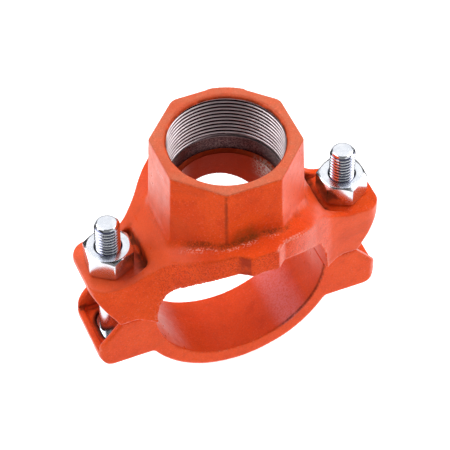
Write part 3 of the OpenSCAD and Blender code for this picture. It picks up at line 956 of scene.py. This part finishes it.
def paint_material():
    """Red paint on cast iron, grainy and mottled, with grime and painted shade in hollows, worn edges with
    painted highlights, smudges, and more painted shade and highlights; glossiest seen edge-on.
    """
    m = Nodes("housing_paint")
    coarse, sheen, inside = m.number("coarse"), m.number("sheen"), m.number("inside")
    broad, patch, fine = m.noise(55), m.noise(170, 4, 0.6), m.noise(950, 3, 0.6)
    grain, light_grain = m.noise(1250, 2, 0.7), m.noise(1050, 2, 0.65)
    # grime and painted shade: the paint is darkened where the casting is hollow
    crease_grime_and_shade = m.times(m.span(m.number("hollow"), 0.28, 0.70), m.span(patch, 0.32, 0.60, 0.15, 0.80))
    crease_grime_and_shade = m.times(crease_grime_and_shade, m.math("SUBTRACT", 1.0, inside))
    speck = m.times(m.span(m.cells(420), 0.05, 0.11, 1.0, 0.0), m.span(m.noise(60, 2), 0.5, 0.62))
    foot = m.broken("foot", grain, 0.36, 0.56, 0.12, 0.80)
    glint = m.times(m.span(light_grain, 0.50, 0.58), m.span(m.noise(75, 2), 0.42, 0.60))
    # worn edges and painted edge highlights: paler paint along the edges
    edge_wear_and_highlight = m.times(m.span(m.number("edge"), 0.35, 0.9), m.span(m.noise(700, 2, 0.7), 0.52, 0.64))
    shares = {
        "patch": m.times(m.span(patch, 0.5, 0.72), 0.45),
        # painted highlight: paler paint on the outlet's top face
        "pale": m.broken("level", patch, 0.3, 0.7, 0.75, 1.0),
        "dark_grain": m.times(m.span(grain, 0.46, 0.64), m.span(coarse, 0.1, 0.9, 0.24, 0.68)),
        "light_grain": m.times(m.span(light_grain, 0.56, 0.70), 0.40),
        "speck": m.times(speck, 0.7),
        "crease_grime_and_shade": crease_grime_and_shade,
        "foot": m.times(foot, m.span(patch, 0.34, 0.60, 0.25, 1.0)),
        # grime and painted shade in the nut pockets
        "pocket_grime_and_shade": m.broken("pocket_grime_and_shade", patch, 0.34, 0.58, 0.15, 0.90),
        # painted sheen: paler paint where the sheen mark is
        "sheen": m.times(sheen, 0.45),
        # painted shade on the ramp face left of the tab
        "nook_shade": m.broken("nook_shade", patch, 0.3, 0.6, 0.45, 0.8),
        # painted highlight along the upper edge right of the tab
        "brow_highlight": m.broken("brow_highlight", grain, 0.36, 0.56, 0.25, 0.95),
        "glint": m.times(glint, m.number("glint")),
        "edge_wear_and_highlight": m.times(edge_wear_and_highlight, 0.50),
        "stain": m.times(m.broken("stain", patch, 0.3, 0.6, 0.2, 0.75), 0.60),
        "seam": m.broken("seam", patch, 0.35, 0.6, 0.2, 0.7),
        "smudge": m.span(m.noise(46, 5, 0.6, 0.8), 0.50, 0.66, 0.0, 0.30),
        # painted shade round the neck hole
        "neck_gap_shade": m.times(m.number("neck_gap_shade"), 0.9),
        # painted reflection on the strap's inner right side
        "strap_highlight": m.broken("strap_highlight", light_grain, 0.36, 0.60, 0.45, 0.95),
        "lip": m.broken("lip", patch, 0.3, 0.6, 0.35, 0.85),
        # painted shade: the paint inside the waterway is darkened
        "inside": m.times(inside, 0.8),
        "flake": m.times(m.broken("peel", fine, 0.44, 0.56), 0.85),
    }
    colour = m.mix(m.span(broad, 0.35, 0.68), RED, DEEP_RED)
    for name, over in PAINT_LAYERS.items():
        colour = m.mix(shares[name], colour, over)
    rough = m.math("ADD", m.span(patch, 0.3, 0.7, 0.27, 0.40), m.times(coarse, 0.08))
    rough = m.math("ADD", rough, m.times(crease_grime_and_shade, 0.25))
    normal = m.bump(patch, 0.35, 0.00035)
    normal = m.bump(fine, m.span(coarse, 0.0, 1.0, 0.5, 0.9), 0.00024, normal)
    turned = m.add("ShaderNodeLayerWeight")
    turned.inputs["Blend"].default_value = 0.5
    gloss = m.span(turned.outputs["Facing"], 0.42, 0.74, 0.04, 0.68)
    gloss = m.math("MAXIMUM", gloss, m.times(sheen, 0.32))
    m.put_all(Base_Color=colour, Roughness=rough, IOR=1.45, Normal=normal, Specular_IOR_Level=gloss)
    return m.material


# the root colour is grime and painted shade in the thread's roots
IRON, IRON_BRIGHT, IRON_ROOT_GRIME_AND_SHADE = (0.60, 0.51, 0.53), (0.76, 0.67, 0.69), (0.036, 0.011, 0.016)
IRON_BAND, IRON_BAND_SPECK = (0.040, 0.014, 0.016), (0.14, 0.080, 0.078)


def iron_material():
    """Iron cut on a lathe: bright thread crests with dark roots, and a dark speckled band."""
    m = Nodes("cut_iron")
    plain = m.number("plain")
    stretch = m.add("ShaderNodeMapping")
    m.link(m.place, stretch.inputs["Vector"])
    stretch.inputs["Scale"].default_value = (1.0, 1.0, 14.0)
    lines = m.noise(160, 4, 0.5, place=stretch.outputs["Vector"])
    fine = m.noise(1300, 2, 0.6)
    colour = m.mix(m.span(lines, 0.3, 0.7), IRON, IRON_BRIGHT)
    # grime and painted shade: the thread's roots are painted dark
    colour = m.mix(m.span(m.number("groove"), 0.10, 0.50), colour, IRON_ROOT_GRIME_AND_SHADE)
    colour = m.mix(plain, colour, m.mix(m.span(fine, 0.40, 0.66), IRON_BAND, IRON_BAND_SPECK))
    rough = m.math("ADD", m.span(m.noise(240), 0.3, 0.7, 0.32, 0.39), m.times(plain, 0.13))
    normal = m.bump(lines, 0.10, 0.00010)
    normal = m.bump(fine, m.math("ADD", m.times(plain, 0.6), 0.08), 0.00014, normal)
    m.put_all(Base_Color=colour, Metallic=1.0, Roughness=rough, Normal=normal)
    return m.material


ZINC, ZINC_BLUE = (0.78, 0.80, 0.84), (0.68, 0.71, 0.77)
# the root colour is grime and painted shade in the threads' roots
ZINC_FLECK, ZINC_ROOT_GRIME_AND_SHADE = (0.46, 0.50, 0.58), (0.14, 0.15, 0.26)


def zinc_material():
    """Bright zinc plate, darker and bluer in the threads."""
    m = Nodes("zinc_steel")
    broad, fine = m.noise(220), m.noise(1500, 3, 0.6)
    colour = m.mix(m.span(broad, 0.35, 0.65), ZINC, ZINC_BLUE)
    colour = m.mix(m.times(m.span(fine, 0.58, 0.72), 0.2), colour, ZINC_FLECK)
    # grime and painted shade: the threads' roots are painted dark and blue
    colour = m.mix(m.span(m.number("groove"), 0.12, 0.60), colour, ZINC_ROOT_GRIME_AND_SHADE)
    rough = m.span(broad, 0.3, 0.7, 0.16, 0.22)
    m.put_all(Base_Color=colour, Metallic=1.0, Roughness=rough, Normal=m.bump(m.noise(260, 2), 0.03, 0.00006))
    return m.material


def rubber_material():
    """Matt black rubber."""
    m = Nodes("seal_rubber")
    fine = m.noise(1100, 3, 0.6)
    colour = m.mix(m.span(fine, 0.3, 0.7), (0.012, 0.012, 0.013), (0.03, 0.03, 0.032))
    rough = m.span(m.noise(150), 0.3, 0.7, 0.55, 0.75)
    m.put_all(Base_Color=colour, Roughness=rough, Normal=m.bump(fine, 0.3, 0.00008))
    return m.material


def floor_material():
    """Plain white that glows a little, so that it stays evenly pale."""
    m = Nodes("floor_white")
    colour = m.mix(m.noise(6, 2), (0.54, 0.54, 0.54), (0.56, 0.56, 0.56))
    m.put_all(Base_Color=colour, Roughness=0.9, Emission_Color=(1, 1, 1, 1), Emission_Strength=0.95)
    return m.material


# ---------------------------------------------------------------- studio
CAMERA_AZIMUTH = math.radians(-22.45)
CAMERA_ELEVATION = math.radians(48.1)
CAMERA_ROLL = math.radians(-0.30)
CAMERA_DISTANCE = 1200.0
CAMERA_AIM = (-0.77, 0.0, 28.5)
CAMERA_LENS = 196.4
CAMERA_SENSOR = 36.0
FLOOR_HALF = 6000.0
FLOOR_GAP = 0.5
GLOW_HEIGHTS = (0.10, 0.42)  # from low to high in the world's sky
GLOW_STRENGTHS = (1.35, 0.22)
LIGHT_AIM_HEIGHT = 0.03
SOFTBOXES = (  # azimuth and elevation in degrees, distance and side in metres, watts
    ("box_right", 93, 46, 0.9, 0.65, 5.4),
    ("box_front", 32, 32, 0.9, 0.6, 1.1),
    ("box_left", -125, 48, 0.9, 0.75, 5.6),
    ("box_back", 160, 48, 0.9, 0.9, 3.0),
    ("box_camera", -22, 55, 1.6, 1.6, 2.1),
)


def direction(a, e):
    """Unit vector from the part towards an azimuth and elevation in radians."""
    return Vector((math.sin(a) * math.cos(e), -math.cos(a) * math.cos(e), math.sin(e)))


def place_camera():
    """The camera, far off, looking down at the part from its front left."""
    a, e, r = CAMERA_AZIMUTH, CAMERA_ELEVATION, CAMERA_ROLL
    back = direction(a, e)
    level = Vector((math.cos(a), math.sin(a), 0.0))
    above = back.cross(level)
    right = level * math.cos(r) + above * math.sin(r)
    up = above * math.cos(r) - level * math.sin(r)
    camera = bpy.data.objects.new("camera", bpy.data.cameras.new("camera"))
    camera.data.lens = CAMERA_LENS
    camera.data.sensor_width = CAMERA_SENSOR
    camera.data.clip_start, camera.data.clip_end = 0.05, 50.0
    turn = Matrix((right, up, back)).transposed().to_4x4()
    camera.matrix_world = Matrix.Translation((Vector(CAMERA_AIM) + back * CAMERA_DISTANCE) * MM) @ turn
    bpy.context.scene.collection.objects.link(camera)
    bpy.context.scene.camera = camera


def softbox(name, azimuth, elevation, distance, side, watts):
    """A square area light that looks at the part."""
    back = direction(math.radians(azimuth), math.radians(elevation))
    data = bpy.data.lights.new(name, "AREA")
    data.shape, data.size, data.energy = "SQUARE", side, watts
    light = bpy.data.objects.new(name, data)
    light.location = back * distance + Vector((0, 0, LIGHT_AIM_HEIGHT))
    light.rotation_euler = back.to_track_quat("Z", "Y").to_euler()
    bpy.context.scene.collection.objects.link(light)


def build_world():
    """A pale sky that is brightest near the horizon."""
    world = bpy.data.worlds.new("studio")
    world.use_nodes = True
    tree = world.node_tree
    place = tree.nodes.new("ShaderNodeTexCoord")
    part = tree.nodes.new("ShaderNodeSeparateXYZ")
    glow = tree.nodes.new("ShaderNodeMapRange")
    tree.links.new(place.outputs["Generated"], part.inputs["Vector"])
    tree.links.new(part.outputs["Z"], glow.inputs["Value"])
    glow.inputs["From Min"].default_value, glow.inputs["From Max"].default_value = GLOW_HEIGHTS
    glow.inputs["To Min"].default_value, glow.inputs["To Max"].default_value = GLOW_STRENGTHS
    tree.links.new(glow.outputs["Result"], tree.nodes["Background"].inputs["Strength"])
    bpy.context.scene.world = world


def build_studio():
    """Camera, floor, sky and lights."""
    place_camera()
    size = FLOOR_HALF
    z = LOWER_LOW[2] - TRAVEL - FLOOR_GAP
    corners = [(-size, -size, z), (size, -size, z), (size, size, z), (-size, size, z)]
    floor = make_piece("studio_floor", corners, [(0, 1, 2, 3)])
    floor.data.materials.append(floor_material())
    build_world()
    for box in SOFTBOXES:
        softbox(*box)
    bpy.context.scene.view_settings.view_transform = "Standard"


# ---------------------------------------------------------------- assembly
paint, cut_iron, zinc, rubber = paint_material(), iron_material(), zinc_material(), rubber_material()


def seat(piece, body, node):
    """A finished piece on its body, in place of its CAD node."""
    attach(piece, body)
    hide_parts(node)


seat(build_upper(), "upper", "upper_housing")
seat(build_gasket(), "upper", "outlet_gasket")
seat(build_lower(), "lower", "lower_housing")
for word, side in (("left", -1), ("right", 1)):
    seat(build_bolt(side, "track_bolt_" + word), "lower", "bolt_" + word)
    seat(build_nut(side, "hex_nut_" + word, NUT_TURNS[word]), word + "_nut", "nut_" + word)
build_studio()
